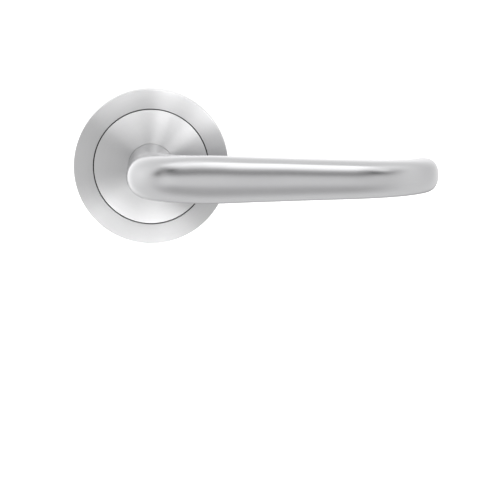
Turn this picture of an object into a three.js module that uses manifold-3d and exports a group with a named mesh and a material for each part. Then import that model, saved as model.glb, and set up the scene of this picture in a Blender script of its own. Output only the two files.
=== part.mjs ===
// Door lever handle on a round rose, one side of the door.
// Millimetres. Origin: where the spindle axis crosses the door face.
// +X runs along the lever, +Y goes into the door, +Z is up.
// The spindle axis is the Y axis, so everything in front of the door has y < 0.

import * as THREE from 'three';
import { mergeVertices } from 'three/addons/utils/BufferGeometryUtils.js';
import Module from 'manifold-3d';

const wasm = await Module();
wasm.setup();

// ---------------------------------------------------------------- dimensions

const GAP = 0.3;                    // clearance kept between touching pieces

// rose: ring, centre disc and the carrier behind them
const ROSE_R = 32.0;                // rose diameter 64
const ROSE_H = 8.0;                 // height of the rose above the door
const ROSE_SHEET = 1.2;             // sheet thickness
const ROSE_EDGE_R = 0.3;            // softened front edge
const SEAM_IN_R = 23.6;             // centre disc radius
const SEAM_OUT_R = 24.05;           // ring opening radius
const NECK_HOLE_R = 10.0;           // hole in the centre disc
const SKIRT_IN_R = 30.7;
const CARRIER_R = 30.3;
const CARRIER_WEB = [-6.5, -5.7];   // front and back of the carrier's web
const CARRIER_HOLE_R = 10.35;

// mounting plate
const PLATE_R = 27.9;                // body of the plate
const PLATE_FLANGE_R = 30.2;         // thin flange that rests on the door
const PLATE_FLANGE_T = 0.9;
const PLATE_RELIEF_R = 26.8;         // inside this the back is relieved, so that only the flange touches the door
const PLATE_RELIEF = 0.3;
const PLATE_T = 2.5;
const PLATE_BOSS_R = 13.0;
const PLATE_BOSS_H = 0.6;
const RIM_IN_R = 25.4;
const RIM_R = 27.4;
const RIM_FRONT = -5.3;
const RIM_GROOVE_R = 26.7;
const RIM_GROOVE = [-4.7, -3.1];
const SNAP_WIRE_R = 0.45;
const SNAP_R = 27.45;               // centre radius of the snap ring wire
const SNAP_Y = -3.9;

// through-bolt fixings at 38 mm centres, level with the spindle
const FIX_X = 19.0;
const SPIGOT_R = 3.9;
const SPIGOT_L = 8.0;
const FIX_HOLE_R = 2.35;
const BOLT_R = 2.0;                 // M4
const BOLT_HEAD_R = 3.6;
const BOLT_HEAD_H = 1.4;
const BOLT_L = 50.0;
const LOCK_T = 0.8;

// lever neck and journal
const NECK_R = 9.6;
const SHOULDER_Y = -5.6;
const JOURNAL_R = 8.0;
const JOURNAL_FLAT = 7.0;           // half width across the drive flats
const FLAT_START_Y = 0.3;
const TAIL_END_Y = 15.4;
const CLIP_GROOVE_R = 7.15;
const CLIP_GROOVE = [12.8, 14.3];
const SOCKET_HALF = 4.3;            // square socket for the spindle
const SOCKET_BOTTOM_Y = -22.0;
const RUN = 0.1;                    // radial running clearance in the bushes

// lever centreline, measured from where the straight neck ends
const BEND_START_Y = -33.59;
const ROOT_BEND_L = 36.18;
const RUN_L = 50.51;
const TIP_BEND_L = 45.43;
const RUN_TURN = 2.0;               // degrees turned along the run
const TIP_TURN = 86.88;             // final angle towards the door, degrees
const ROOT_EASE = 1.57;
const TIP_EASE = 1.94;
const CAP_L = 7.5;                  // rounded end
const CAP_POWER = 2.5;
const ELBOW_R = 18.37;              // outer corner, from the side of the neck to the front of the grip
const CROOK_POWER = 2.3;            // superellipse exponent of the inner corner
// half height (along Z) and half thickness of the section, by fraction of length; the elbow's thickness follows from ELBOW_R
const HALF_HEIGHT = [[0, 9.6], [0.12, 9.6], [0.25, 9.71], [0.4, 9.1], [0.55, 8.45], [0.7, 7.9], [0.85, 7.32], [0.93, 7.09], [1, 6.97]];
const HALF_THICK = [[0.25, 6.45], [0.274, 6.45], [0.5, 5.78], [0.8, 5.78], [1, 5.92]];
const ROUNDNESS = [[0, 2.0], [0.22, 2.41], [1, 2.41]];   // superellipse exponent

// spindle and its grub screw
const SPINDLE_HALF = 4.0;           // 8 mm square
const SPINDLE_Y = [-21.4, 60.0];
const SPINDLE_STEP_Y = 15.7;        // forward of this, inside the lever, it is eased by 0.1 mm
const SPINDLE_EASED_HALF = 3.95;
const GRUB_Y = -13.2;
const GRUB_R = 3.0;                 // M6
const GRUB_Z = [-9.1, -4.3];

// driver cam, return spring and their housing
const CAM_Y = [0.6, 2.2];
const CAM_R = 11.2;
const CAM_HUB_R = 10.4;
const CAM_HUB_END = 8.6;
const CAM_LUG_R = 13.1;
const CAM_LUG_HALF = 16;            // degrees
const CAM_LUG_AT = 90;              // degrees from +X towards +Z
const TRAVEL = 45;                  // degrees the lever turns
const STOP_PLAY = 0.8;              // degrees past each end before a stop is met
const SPRING_R = 12.0;
const WIRE_R = 0.9;
const SPRING_Y = [3.45, 8.2];
const SPRING_TURNS = 2.25;
const HOUSING_FRONT = 0.0;
const HOUSING_R = 14.7;
const HOUSING_IN_R = 13.5;
const HOUSING_REAR = [9.5, 10.7];
const EAR_R = 17.6;
const EAR_AT = [90, 210, 330];
const STOP_IN_R = 11.6;

// ------------------------------------------------------------------- helpers

const rad = (d) => d * Math.PI / 180;
const inscribed = (r, n) => r / Math.cos(Math.PI / n);   // polygon whose flats touch radius r

// One closed indexed mesh with shared vertices and faces pointing out.
function solid(geometry) {
  let g = geometry.clone();
  for (const name of Object.keys(g.attributes)) if (name !== 'position') g.deleteAttribute(name);
  g = mergeVertices(g, 1e-4);
  const p = g.attributes.position, index = [];
  const a = new THREE.Vector3(), b = new THREE.Vector3(), c = new THREE.Vector3();
  let volume = 0;
  for (let i = 0; i < g.index.count; i += 3) {
    const t = [g.index.getX(i), g.index.getX(i + 1), g.index.getX(i + 2)];
    if (t[0] === t[1] || t[1] === t[2] || t[2] === t[0]) continue;
    a.fromBufferAttribute(p, t[0]); b.fromBufferAttribute(p, t[1]); c.fromBufferAttribute(p, t[2]);
    volume += a.dot(b.clone().cross(c)) / 6;
    index.push(...t);
  }
  if (volume < 0) for (let i = 0; i < index.length; i += 3) [index[i + 1], index[i + 2]] = [index[i + 2], index[i + 1]];
  g.setIndex(index);
  return g;
}

function toManifold(geometry) {
  const g = solid(geometry);
  return new wasm.Manifold(new wasm.Mesh({
    numProp: 3,
    vertProperties: new Float32Array(g.attributes.position.array),
    triVerts: new Uint32Array(g.index.array),
  }));
}

function fromManifold(m) {
  const mesh = m.getMesh();
  const g = new THREE.BufferGeometry();
  g.setAttribute('position', new THREE.BufferAttribute(new Float32Array(mesh.vertProperties), 3));
  g.setIndex(Array.from(mesh.triVerts));
  return g;
}

const join = (...parts) => parts.slice(1).reduce((m, g) => m.add(toManifold(g)), toManifold(parts[0]));
const cut = (m, ...tools) => tools.reduce((r, g) => r.subtract(toManifold(g)), m);

// Solid of revolution about the Y axis from [radius, y] pairs that close on themselves.
function turned(profile, segments) {
  const points = profile.map(([r, y]) => new THREE.Vector2(r, y));
  points.push(points[0].clone());
  return solid(new THREE.LatheGeometry(points, segments));
}

// Solid of revolution whose profile starts and ends on the axis.
function turnedSolid(profile, segments) {
  return solid(new THREE.LatheGeometry(profile.map(([r, y]) => new THREE.Vector2(r, y)), segments));
}

// Round tool along Y.
function drill(r, y0, y1, x, z, segments = 20) {
  return new THREE.CylinderGeometry(inscribed(r, segments), inscribed(r, segments), y1 - y0, segments)
    .translate(x, (y0 + y1) / 2, z);
}

// A block between two radii and two angles, from y0 to y1, angles from +X towards +Z.
function sector(r0, r1, y0, y1, deg0, deg1, steps = 6) {
  const shape = new THREE.Shape();
  for (let i = 0; i <= steps; i++) {
    const t = rad(deg0 + (deg1 - deg0) * i / steps);
    if (i === 0) shape.moveTo(r1 * Math.cos(t), r1 * Math.sin(t)); else shape.lineTo(r1 * Math.cos(t), r1 * Math.sin(t));
  }
  for (let i = steps; i >= 0; i--) {
    const t = rad(deg0 + (deg1 - deg0) * i / steps);
    shape.lineTo(r0 * Math.cos(t), r0 * Math.sin(t));
  }
  shape.closePath();
  return alongY(shape, y0, y1);
}

// Extrudes a shape drawn in X and Z so that it runs from y0 to y1.
function alongY(shape, y0, y1, curveSegments = 8) {
  const g = new THREE.ExtrudeGeometry(shape, { depth: y1 - y0, bevelEnabled: false, curveSegments });
  g.rotateX(Math.PI / 2);           // drawn y becomes z, depth becomes -y
  return g.translate(0, y1, 0);
}

// Skins a list of closed rings that have the same number of points, with flat ends.
function loft(rings, closed = false) {
  const n = rings[0].length, pos = [], index = [];
  for (const ring of rings) for (const v of ring) pos.push(v.x, v.y, v.z);
  const rows = rings.length;
  for (let i = 0; i < (closed ? rows : rows - 1); i++) {
    const k = (i + 1) % rows;
    for (let j = 0; j < n; j++) {
      const a = i * n + j, b = i * n + (j + 1) % n, c = k * n + j, d = k * n + (j + 1) % n;
      index.push(a, b, d, a, d, c);
    }
  }
  if (!closed) {
    for (const [row, flip] of [[0, true], [rows - 1, false]]) {
      const mid = new THREE.Vector3();
      rings[row].forEach((v) => mid.add(v));
      mid.divideScalar(n);
      const m = pos.length / 3;
      pos.push(mid.x, mid.y, mid.z);
      for (let j = 0; j < n; j++) {
        const a = row * n + j, b = row * n + (j + 1) % n;
        if (flip) index.push(m, b, a); else index.push(m, a, b);
      }
    }
  }
  const g = new THREE.BufferGeometry();
  g.setAttribute('position', new THREE.Float32BufferAttribute(pos, 3));
  g.setIndex(index);
  return solid(g);
}

// Shape-preserving cubic through [t, value] pairs.
function smoothTable(table) {
  const n = table.length, h = [], s = [], m = new Array(n).fill(0);
  for (let i = 0; i < n - 1; i++) { h.push(table[i + 1][0] - table[i][0]); s.push((table[i + 1][1] - table[i][1]) / h[i]); }
  for (let i = 1; i < n - 1; i++) {
    if (s[i - 1] * s[i] <= 0) continue;
    const w1 = 2 * h[i] + h[i - 1], w2 = h[i] + 2 * h[i - 1];
    m[i] = (w1 + w2) / (w1 / s[i - 1] + w2 / s[i]);
  }
  const end = (h0, h1, s0, s1) => {
    let d = ((2 * h0 + h1) * s0 - h0 * s1) / (h0 + h1);
    if (Math.sign(d) !== Math.sign(s0)) d = 0; else if (Math.sign(s0) !== Math.sign(s1) && Math.abs(d) > 3 * Math.abs(s0)) d = 3 * s0;
    return d;
  };
  m[0] = end(h[0], h[1] ?? h[0], s[0], s[1] ?? s[0]);
  m[n - 1] = end(h[n - 2], h[n - 3] ?? h[n - 2], s[n - 2], s[n - 3] ?? s[n - 2]);
  return (t) => {
    let i = 0;
    while (i < n - 2 && t > table[i + 1][0]) i++;
    const u = Math.min(1, Math.max(0, (t - table[i][0]) / h[i]));
    const u2 = u * u, u3 = u2 * u;
    return (2 * u3 - 3 * u2 + 1) * table[i][1] + (u3 - 2 * u2 + u) * h[i] * m[i]
      + (-2 * u3 + 3 * u2) * table[i + 1][1] + (u3 - u2) * h[i] * m[i + 1];
  };
}

// ----------------------------------------------------------------- materials

const steel = (color, roughness, metalness = 1) => new THREE.MeshStandardMaterial({ color, roughness, metalness });
const SATIN = () => steel(0xc9cacb, 0.34);
const ZINC = () => steel(0x9b9da0, 0.5);
const SPRING_STEEL = () => steel(0x6f7276, 0.38);
const PLATED = () => steel(0xb4b3ab, 0.35);
const BLACK_OXIDE = () => steel(0x2b2c2e, 0.45);
const ACETAL_BLACK = () => steel(0x1a1b1c, 0.55, 0);
const ACETAL_WHITE = () => steel(0xe6e4dc, 0.5, 0);
const BRONZE = () => steel(0x9c7a4a, 0.42);
const SINTERED = () => steel(0x7d8084, 0.55);

// --------------------------------------------------------------------- lever

// Angle of the centreline from +X, positive towards the room, at arc length s.
function leverAngle(s) {
  if (s <= ROOT_BEND_L) {
    const u = Math.max(0, s / ROOT_BEND_L);
    return 90 - (90 - RUN_TURN / 2) * (1 - Math.pow(1 - u, ROOT_EASE));
  }
  if (s <= ROOT_BEND_L + RUN_L) return RUN_TURN / 2 - RUN_TURN * (s - ROOT_BEND_L) / RUN_L;
  const u = (s - ROOT_BEND_L - RUN_L) / TIP_BEND_L;
  return -RUN_TURN / 2 - (TIP_TURN - RUN_TURN / 2) * Math.pow(u, TIP_EASE);
}

const LEVER_L = ROOT_BEND_L + RUN_L + TIP_BEND_L;
const CENTRELINE = (() => {
  const step = 0.1, pts = [{ s: 0, x: 0, y: BEND_START_Y }];
  for (let s = 0; s < LEVER_L - 1e-9; s += step) {
    const ds = Math.min(step, LEVER_L - s), t = rad(leverAngle(s + ds / 2)), q = pts[pts.length - 1];
    pts.push({ s: s + ds, x: q.x + Math.cos(t) * ds, y: q.y - Math.sin(t) * ds });
  }
  return pts;
})();
function centre(s) {
  let i = Math.min(CENTRELINE.length - 2, Math.max(0, Math.floor(s / 0.1)));
  const a = CENTRELINE[i], b = CENTRELINE[i + 1], k = (s - a.s) / (b.s - a.s);
  return [a.x + (b.x - a.x) * k, a.y + (b.y - a.y) * k];
}

const halfHeight = smoothTable(HALF_HEIGHT);
const gripThick = smoothTable(HALF_THICK);

// In the elbow the outer line is the side of the neck, an arc, and the grip's front line carried on.
const ELBOW = (() => {
  const t = rad(RUN_TURN / 2), T = gripThick(ROOT_BEND_L / LEVER_L), [x, y] = centre(ROOT_BEND_L);
  const normal = [-Math.sin(t), -Math.cos(t)], along = [Math.cos(t), -Math.sin(t)];
  const front = [x + T * normal[0], y + T * normal[1]];
  const k = (ELBOW_R - NECK_R - front[0] + ELBOW_R * normal[0]) / along[0];
  return { normal, along, front, arc: [front[0] + k * along[0] - ELBOW_R * normal[0], front[1] + k * along[1] - ELBOW_R * normal[1]] };
})();
function halfThick(s) {
  if (s >= ROOT_BEND_L) return gripThick(s / LEVER_L);
  const t = rad(leverAngle(s)), [x, y] = centre(s), n = [-Math.sin(t), -Math.cos(t)];
  const side = (x + NECK_R) / -n[0];
  if (n[0] < -1e-6 && y + side * n[1] >= ELBOW.arc[1]) return side;
  const { normal, along, front, arc } = ELBOW;
  const ahead = ((front[0] - x) * normal[0] + (front[1] - y) * normal[1]) / (n[0] * normal[0] + n[1] * normal[1]);
  if ((x + ahead * n[0] - arc[0]) * along[0] + (y + ahead * n[1] - arc[1]) * along[1] >= 0) return ahead;
  const w = [x - arc[0], y - arc[1]], b = w[0] * n[0] + w[1] * n[1];
  return -b + Math.sqrt(Math.max(0, b * b - (w[0] * w[0] + w[1] * w[1] - ELBOW_R * ELBOW_R)));
}

// The inner line of the elbow is a hollow quarter superellipse from the side of the neck to the back of the grip.
const CROOK = (() => {
  const back = (s) => {
    const t = rad(leverAngle(s)), T = gripThick(s / LEVER_L), [x, y] = centre(s);
    return [x + Math.sin(t) * T, y + Math.cos(t) * T];
  };
  const [x0, y0] = back(ROOT_BEND_L), [x1, y1] = back(ROOT_BEND_L + 1);
  const slope = (y1 - y0) / (x1 - x0), across = x0 - NECK_R, top = BEND_START_Y + slope * across;
  return { x0, slope, across, top, drop: top - y0 };
})();
function innerHalfThick(s) {
  if (s >= ROOT_BEND_L) return halfThick(s);
  const { x0, slope, across, top, drop } = CROOK, t = rad(leverAngle(s)), [x, y] = centre(s);
  let low = 0, high = 25;
  for (let i = 0; i < 40; i++) {
    const mid = (low + high) / 2, px = x + Math.sin(t) * mid, py = y + Math.cos(t) * mid;
    const a = Math.max(0, (x0 - px) / across), b = Math.max(0, (top + slope * (px - x0) - py) / drop);
    if (Math.pow(a, CROOK_POWER) + Math.pow(b, CROOK_POWER) > 1) low = mid; else high = mid;
  }
  return low;
}
const roundness = smoothTable(ROUNDNESS);
const SECTION_POINTS = 28;

// thick is the half thickness towards the room, inner the one towards the door.
function section(x, y, deg, thick, height, exponent, inner = thick) {
  const t = rad(deg), nx = -Math.sin(t), ny = -Math.cos(t), ring = [];
  for (let j = 0; j < SECTION_POINTS; j++) {
    const u = 2 * Math.PI * j / SECTION_POINTS;
    const c = Math.sign(Math.cos(u)) * Math.pow(Math.abs(Math.cos(u)), 2 / exponent);
    const d = Math.sign(Math.sin(u)) * Math.pow(Math.abs(Math.sin(u)), 2 / exponent);
    const reach = c > 0 ? thick : inner;
    ring.push(new THREE.Vector3(x + nx * reach * c, y + ny * reach * c, height * d));
  }
  return ring;
}

function leverSolid() {
  const rings = [];
  for (const y of [SHOULDER_Y, -20, BEND_START_Y]) rings.push(section(0, y, 90, NECK_R, NECK_R, 2));
  const stations = [];
  for (let i = 1; i <= 16; i++) stations.push(ROOT_BEND_L * i / 16);
  for (let i = 1; i <= 4; i++) stations.push(ROOT_BEND_L + RUN_L * i / 4);
  for (let i = 1; i <= 11; i++) stations.push(ROOT_BEND_L + RUN_L + (TIP_BEND_L - CAP_L) * i / 11);
  for (const q of [0.3, 0.52, 0.7, 0.84, 0.94, 0.985]) stations.push(LEVER_L - CAP_L * (1 - q));
  for (const s of stations) {
    const [x, y] = centre(s), f = s / LEVER_L;
    const q = Math.max(0, (s - (LEVER_L - CAP_L)) / CAP_L), cap = Math.sqrt(1 - Math.pow(q, CAP_POWER));
    rings.push(section(x, y, leverAngle(s), halfThick(s) * cap, halfHeight(f) * cap, roundness(f), innerHalfThick(s) * cap));
  }
  const bar = loft(rings);
  const tail = turnedSolid([
    [0, SHOULDER_Y - 2], [JOURNAL_R, SHOULDER_Y - 2], [JOURNAL_R, CLIP_GROOVE[0]], [CLIP_GROOVE_R, CLIP_GROOVE[0]],
    [CLIP_GROOVE_R, CLIP_GROOVE[1]], [JOURNAL_R, CLIP_GROOVE[1]], [JOURNAL_R, TAIL_END_Y - 0.6], [JOURNAL_R - 0.6, TAIL_END_Y], [0, TAIL_END_Y],
  ], 32);
  const flat = (sign) => new THREE.BoxGeometry(3, TAIL_END_Y + 1 - FLAT_START_Y, 20)
    .translate(sign * (JOURNAL_FLAT + 1.5), (TAIL_END_Y + 1 + FLAT_START_Y) / 2, 0);
  const socket = new THREE.BoxGeometry(2 * SOCKET_HALF, TAIL_END_Y + 1 - SOCKET_BOTTOM_Y, 2 * SOCKET_HALF)
    .translate(0, (TAIL_END_Y + 1 + SOCKET_BOTTOM_Y) / 2, 0);
  const grubHole = new THREE.CylinderGeometry(inscribed(GRUB_R + GAP, 20), inscribed(GRUB_R + GAP, 20), 9, 20)
    .rotateX(Math.PI / 2).translate(0, GRUB_Y, -8);
  return fromManifold(cut(join(bar, tail), flat(1), flat(-1), socket, grubHole));
}

// ------------------------------------------------------------- smaller pieces

function spindleSolid() {
  const ring = (y, h) => {
    const c = h - 0.5;
    return [[h, -c], [h, c], [c, h], [-c, h], [-h, c], [-h, -c], [-c, -h], [c, -h]].map(([x, z]) => new THREE.Vector3(x, y, z));
  };
  return loft([ring(SPINDLE_Y[0], SPINDLE_EASED_HALF - 0.7), ring(SPINDLE_Y[0] + 0.7, SPINDLE_EASED_HALF),
    ring(SPINDLE_STEP_Y - 0.1, SPINDLE_EASED_HALF), ring(SPINDLE_STEP_Y, SPINDLE_HALF),
    ring(SPINDLE_Y[1] - 1.2, SPINDLE_HALF), ring(SPINDLE_Y[1], SPINDLE_HALF - 1.2)]);
}

// Set screw standing along Z: hex socket at the bottom, cup point at the top.
function grubSolid() {
  const [z0, z1] = GRUB_Z;
  const body = turnedSolid([[0, z0], [GRUB_R - 0.4, z0], [GRUB_R, z0 + 0.4], [GRUB_R, z1 - 0.9], [GRUB_R - 0.9, z1], [1.2, z1], [0, z1 - 0.6]], 20);
  const hex = new THREE.CylinderGeometry(1.5 / Math.cos(Math.PI / 6), 1.5 / Math.cos(Math.PI / 6), 3, 6).translate(0, z0 - 0.1 + 1, 0);
  const g = fromManifold(cut(toManifold(body), hex));
  g.rotateX(Math.PI / 2);            // +Y becomes +Z
  return g.translate(0, GRUB_Y, 0);
}

function driverCamSolid() {
  const disc = turnedSolid([[0, CAM_Y[0]], [CAM_R, CAM_Y[0]], [CAM_R, CAM_Y[1]], [CAM_HUB_R, CAM_Y[1]], [CAM_HUB_R, CAM_HUB_END], [0, CAM_HUB_END]], 32);
  const lug = sector(8, CAM_LUG_R, CAM_Y[0], CAM_Y[1], CAM_LUG_AT - CAM_LUG_HALF, CAM_LUG_AT + CAM_LUG_HALF);
  const bore = cut(toManifold(drill(JOURNAL_R + GAP, -1, 10, 0, 0, 32)),
    ...[1, -1].map((s) => new THREE.BoxGeometry(4, 14, 24).translate(s * (JOURNAL_FLAT + GAP + 2), 4.5, 0)));
  const notch = drill(WIRE_R + GAP, -1, 3, 0, SPRING_R, 14);
  return fromManifold(cut(join(disc, lug), fromManifold(bore), notch));
}

function housingSolid() {
  const cup = turned([[HOUSING_IN_R, HOUSING_FRONT], [HOUSING_R, HOUSING_FRONT], [HOUSING_R, HOUSING_REAR[1] - 0.8], [HOUSING_R - 0.8, HOUSING_REAR[1]],
    [9.72, HOUSING_REAR[1]], [9.72, HOUSING_REAR[0]], [HOUSING_IN_R, HOUSING_REAR[0]]].map(([r, y]) => [r === HOUSING_R || r === HOUSING_R - 0.8 ? r : inscribed(r, 36), y]), 36);
  const ears = EAR_AT.flatMap((deg) => {
    const t = rad(deg), x = EAR_R * Math.cos(t), z = EAR_R * Math.sin(t);
    const web = new THREE.BoxGeometry(EAR_R - 14.0, 4.3 - HOUSING_FRONT, 5.8).translate((EAR_R + 14.0) / 2, (4.3 + HOUSING_FRONT) / 2, 0).rotateY(-t);
    return [drill(2.9, HOUSING_FRONT, 4.3, x, z, 20), web];
  });
  const restStop = sector(STOP_IN_R, 14.2, 0.3, 2.2, CAM_LUG_AT + CAM_LUG_HALF + STOP_PLAY, CAM_LUG_AT + CAM_LUG_HALF + STOP_PLAY + 22);
  const endStop = sector(STOP_IN_R, 14.2, 0.3, 2.2, CAM_LUG_AT - CAM_LUG_HALF - TRAVEL - STOP_PLAY - 22, CAM_LUG_AT - CAM_LUG_HALF - TRAVEL - STOP_PLAY);
  const holes = EAR_AT.map((deg) => drill(1.55, -1, 6, EAR_R * Math.cos(rad(deg)), EAR_R * Math.sin(rad(deg)), 14));
  const legHole = drill(WIRE_R + GAP, 8, 12, -SPRING_R, 0, 14);
  return fromManifold(cut(join(cup, ...ears, restStop, endStop), ...holes, legHole));
}

// Torsion spring: coil with one leg forward into the cam and one leg back into the housing.
function springSolid() {
  const points = [], bend = 1.6, bendDeg = bend / SPRING_R * 180 / Math.PI;
  const at = (deg, y) => new THREE.Vector3(SPRING_R * Math.cos(rad(deg)), y, SPRING_R * Math.sin(rad(deg)));
  const total = SPRING_TURNS * 360, startDeg = CAM_LUG_AT + total;       // rear leg, then unwinds to the cam
  points.push(at(startDeg, 10.5), at(startDeg, 9.9));
  for (const k of [0.33, 0.66]) points.push(at(startDeg - bendDeg * (1 - Math.cos(k * Math.PI / 2)), SPRING_Y[1] + bend * (1 - Math.sin(k * Math.PI / 2))));
  const turns = total - 2 * bendDeg, n = Math.round(turns / 20);
  for (let i = 0; i <= n; i++) points.push(at(startDeg - bendDeg - turns * i / n, SPRING_Y[1] + (SPRING_Y[0] - SPRING_Y[1]) * i / n));
  for (const k of [0.66, 0.33]) points.push(at(CAM_LUG_AT + bendDeg * (1 - Math.cos(k * Math.PI / 2)), SPRING_Y[0] - bend * (1 - Math.sin(k * Math.PI / 2))));
  points.push(at(CAM_LUG_AT, 1.7), at(CAM_LUG_AT, 0.9));
  const path = new THREE.CatmullRomCurve3(points, false, 'centripetal');
  const wire = new THREE.Shape();
  for (let i = 0; i < 7; i++) {
    const t = 2 * Math.PI * i / 7;
    if (i === 0) wire.moveTo(WIRE_R * Math.cos(t), WIRE_R * Math.sin(t)); else wire.lineTo(WIRE_R * Math.cos(t), WIRE_R * Math.sin(t));
  }
  wire.closePath();
  return solid(new THREE.ExtrudeGeometry(wire, { steps: 60, bevelEnabled: false, extrudePath: path }));
}

function waveWasherSolid() {
  const rings = [], n = 30, y = 12.45, t = 0.14;
  for (let i = 0; i < n; i++) {
    const a = 2 * Math.PI * i / n, w = y + 0.18 * Math.sin(3 * a);
    rings.push([[8.35, w - t], [11.0, w - t], [11.0, w + t], [8.35, w + t]].map(([r, h]) => new THREE.Vector3(r * Math.cos(a), h, r * Math.sin(a))));
  }
  return loft(rings, true);
}

// External circlip with two lugs, gap at the bottom.
function circlipSolid() {
  const shape = new THREE.Shape(), inR = 7.45, gapDeg = 14, steps = 26;
  const a0 = -90 + gapDeg, a1 = 270 - gapDeg;
  for (let i = 0; i <= steps; i++) {
    const d = a0 + (a1 - a0) * i / steps, t = rad(d);
    const w = 1.6 + 0.8 * Math.max(0, Math.cos(t - Math.PI / 2) * 0.5 + 0.5);
    const end = i <= 1 || i >= steps - 1 ? 1.4 : 0;
    const r = inR + w + end;
    if (i === 0) shape.moveTo(r * Math.cos(t), r * Math.sin(t)); else shape.lineTo(r * Math.cos(t), r * Math.sin(t));
  }
  for (let i = steps; i >= 0; i--) {
    const t = rad(a0 + (a1 - a0) * i / steps);
    shape.lineTo(inscribed(inR, 60) * Math.cos(t), inscribed(inR, 60) * Math.sin(t));
  }
  shape.closePath();
  const plate = alongY(shape, 13.1, 14.0);
  const eyes = [a0 + 6, a1 - 6].map((d) => drill(0.6, 12.5, 14.5, 9.1 * Math.cos(rad(d)), 9.1 * Math.sin(rad(d)), 10));
  return fromManifold(cut(toManifold(plate), ...eyes));
}

function plateSolid() {
  const f = -PLATE_T;
  const disc = turned([
    [9.72, -PLATE_RELIEF], [PLATE_RELIEF_R, -PLATE_RELIEF], [PLATE_RELIEF_R, 0], [PLATE_FLANGE_R, 0], [PLATE_FLANGE_R, -PLATE_FLANGE_T], [PLATE_R, -PLATE_FLANGE_T], [PLATE_R, f + 0.4], [PLATE_R - 0.4, f], [RIM_R, f], [RIM_R, RIM_GROOVE[1]], [RIM_GROOVE_R, RIM_GROOVE[1]],
    [RIM_GROOVE_R, RIM_GROOVE[0]], [RIM_R, RIM_GROOVE[0]], [RIM_R - 0.3, RIM_FRONT], [RIM_IN_R, RIM_FRONT], [RIM_IN_R, f],
    [PLATE_BOSS_R, f], [PLATE_BOSS_R, f - PLATE_BOSS_H], [9.72, f - PLATE_BOSS_H],
  ].map(([r, y]) => [r === 9.72 ? inscribed(r, 44) : r, y]), 44);
  const spigots = [1, -1].map((s) => new THREE.CylinderGeometry(SPIGOT_R, SPIGOT_R, SPIGOT_L + 1, 24).translate(s * FIX_X, (SPIGOT_L - 1) / 2, 0));
  const holes = [1, -1].map((s) => drill(FIX_HOLE_R, -4, SPIGOT_L + 1, s * FIX_X, 0, 16));
  const screwHoles = EAR_AT.map((deg) => drill(1.55, -4, 1, EAR_R * Math.cos(rad(deg)), EAR_R * Math.sin(rad(deg)), 14));
  return fromManifold(cut(join(disc, ...spigots), ...holes, ...screwHoles));
}

function boltSolid(x) {
  const under = -PLATE_T - GAP - LOCK_T - GAP;          // underside of the head
  const body = turnedSolid([[0, under - BOLT_HEAD_H], [BOLT_HEAD_R - 0.4, under - BOLT_HEAD_H], [BOLT_HEAD_R, under - BOLT_HEAD_H + 0.4],
    [BOLT_HEAD_R, under], [BOLT_R, under], [BOLT_R, under + BOLT_L - 0.8], [BOLT_R - 0.6, under + BOLT_L], [0, under + BOLT_L]], 20);
  const hex = new THREE.CylinderGeometry(1.25 / Math.cos(Math.PI / 6), 1.25 / Math.cos(Math.PI / 6), 3, 6).translate(0, under - BOLT_HEAD_H + 1.3 - 1.5, 0);
  return fromManifold(cut(toManifold(body), hex)).translate(x, 0, 0);
}

// Split spring washer around a fixing bolt.
function lockWasherSolid(x) {
  const y = -PLATE_T - GAP - LOCK_T / 2, h = 0.31, rings = [], n = 20;
  for (let i = 0; i <= n; i++) {
    const a = rad(6 + 348 * i / n), w = y + 0.16 * (i / n - 0.5);
    rings.push([[2.3, w - h], [3.5, w - h], [3.5, w + h], [2.3, w + h]].map(([r, q]) => new THREE.Vector3(x + r * Math.cos(a), q, r * Math.sin(a))));
  }
  return loft(rings);
}

// Pan head screw that holds the spring housing to the plate.
function housingScrewSolid(deg) {
  const under = -PLATE_T - GAP, r = 1.25;
  const body = turnedSolid([[0, under - 1.5], [1.6, under - 1.5], [2.3, under - 1.1], [2.5, under - 0.5], [2.5, under], [r, under], [r, 5.4], [r - 0.5, 6.0], [0, 6.0]], 18);
  const cross = [[2.6, 0.6], [0.6, 2.6]].map(([w, d]) => new THREE.BoxGeometry(w, 1.6, d).translate(0, under - 1.5, 0));
  return fromManifold(cut(toManifold(body), ...cross)).translate(EAR_R * Math.cos(rad(deg)), 0, EAR_R * Math.sin(rad(deg)));
}

// Open wire ring in the groove of the plate's rim.
function snapRingSolid() {
  const rings = [], n = 36;
  for (let i = 0; i <= n; i++) {
    const a = rad(-90 + 7 + 346 * i / n), ring = [];
    for (let j = 0; j < 6; j++) {
      const u = 2 * Math.PI * j / 6, r = SNAP_R + SNAP_WIRE_R * Math.cos(u);
      ring.push(new THREE.Vector3(r * Math.cos(a), SNAP_Y + SNAP_WIRE_R * Math.sin(u), r * Math.sin(a)));
    }
    rings.push(ring);
  }
  return loft(rings);
}

// --------------------------------------------------------------------- cover

function coverRingSolid() {
  const e = ROSE_EDGE_R, front = -ROSE_H, n = 64;
  const edge = [0, 30, 60, 90].map((d) => [ROSE_R - e + e * Math.sin(rad(d)), front + e - e * Math.cos(rad(d))]);
  return turned([[inscribed(SEAM_OUT_R, n), front + 0.12], [SEAM_OUT_R + 0.15, front], ...edge, [ROSE_R, -0.3], [inscribed(SKIRT_IN_R, n), -0.3],
    [inscribed(SKIRT_IN_R, n), front + ROSE_SHEET], [inscribed(SEAM_OUT_R, n), front + ROSE_SHEET]], n);
}

function centreDiscSolid() {
  const front = -ROSE_H, n = 48, hole = inscribed(NECK_HOLE_R, n);
  return turned([[hole, front + 0.15], [hole + 0.2, front], [SEAM_IN_R - 0.15, front], [SEAM_IN_R, front + 0.12], [SEAM_IN_R, front + ROSE_SHEET], [hole, front + ROSE_SHEET]], n);
}

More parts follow.
